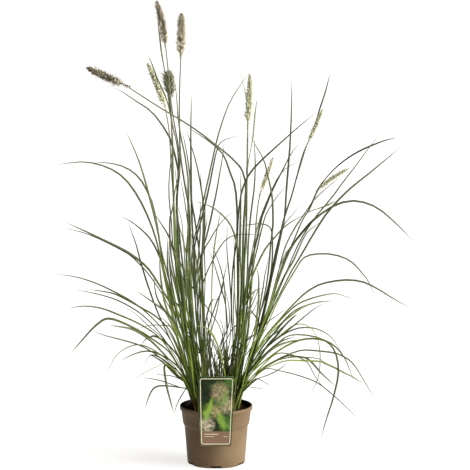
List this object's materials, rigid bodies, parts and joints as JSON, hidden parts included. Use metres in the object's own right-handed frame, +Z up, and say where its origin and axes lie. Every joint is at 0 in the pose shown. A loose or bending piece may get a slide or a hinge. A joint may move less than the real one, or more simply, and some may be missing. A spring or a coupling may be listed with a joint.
{
  "type": "potted chinese fountain grass",
  "caption": "Potted Chinese fountain grass with arching blades and bottle-brush seed heads, in a taupe nursery pot with a hang card.",
  "frame": {"origin": "middle of the pot's flat underside", "axes": "+Z up, along the longest extent; -Y to the front, where the card hangs; +X to the right as seen from the front"},
  "size_m": [0.8634, 0.614, 1.0963],
  "materials": {
    "pot_plastic": "satin moulded taupe",
    "potting_soil": "moist dark peat crumb",
    "printed_card": "printed plastic card, satin gloss",
    "grass_blade": "green leaf, faintly ribbed",
    "ripe_seed_head": "bristly, purple-brown",
    "young_seed_head": "bristly, pale green-tan"
  },
  "bodies": {
    "root": {"pot": "pot_plastic", "soil": "potting_soil", "plant_card": "printed_card", "tuft_left_1": "grass_blade", "tuft_left_2": "grass_blade", "tuft_left_3": "grass_blade", "tuft_left_4": "grass_blade", "tuft_left_5": "grass_blade", "tuft_left_6": "grass_blade", "tuft_middle_1": "grass_blade", "tuft_middle_2": "grass_blade", "tuft_middle_3": "grass_blade", "tuft_middle_4": "grass_blade", "tuft_right_1": "grass_blade", "tuft_right_2": "grass_blade", "tuft_right_3": "grass_blade", "tuft_right_4": "grass_blade", "tuft_right_5": "grass_blade", "tuft_right_6": "grass_blade", "seed_head_1": "ripe_seed_head", "seed_head_2": "ripe_seed_head", "seed_head_3": "ripe_seed_head", "seed_head_4": "young_seed_head", "seed_head_5": "young_seed_head", "seed_head_6": "young_seed_head", "seed_head_7": "young_seed_head", "seed_head_8": "young_seed_head", "seed_head_9": "young_seed_head"}
  },
  "joints": []
}
